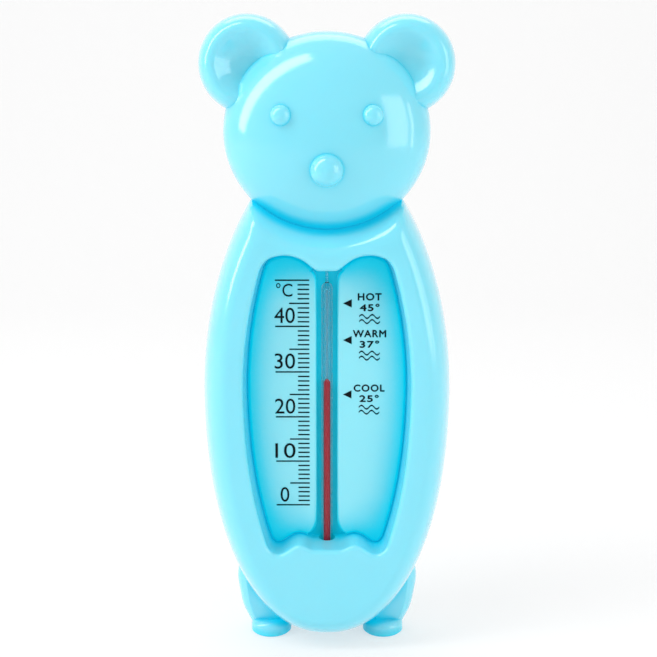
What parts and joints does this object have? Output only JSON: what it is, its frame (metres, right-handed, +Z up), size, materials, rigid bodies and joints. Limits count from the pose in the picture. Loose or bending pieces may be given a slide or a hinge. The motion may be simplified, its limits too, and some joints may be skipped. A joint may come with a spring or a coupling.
{
  "type": "baby bath thermometer",
  "caption": "Bear-shaped bath thermometer that stands on its feet, with a red spirit tube between a degree scale and warmth marks in a window in its belly.",
  "frame": {"origin": "middle of the width and of the depth, on the plane that the soles stand on", "axes": "+Z up, -Y the way the face and the window look, +X to the right of someone who looks at the face"},
  "size_m": [0.0606, 0.0316, 0.1549],
  "materials": {
    "shell_plastic": "glossy pale blue moulding, slightly translucent",
    "plate_plastic": "satin pale blue moulding",
    "tube_glass": "clear, smooth",
    "red_spirit": "deep red liquid",
    "soft_vinyl": "matt, milky",
    "print_ink": "thin black print"
  },
  "bodies": {
    "root": {"front_shell": "shell_plastic", "back_shell": "shell_plastic", "scale_plate": "plate_plastic", "glass_tube": "tube_glass", "red_spirit": "red_spirit", "bulb_cushion": "soft_vinyl"}
  },
  "joints": []
}
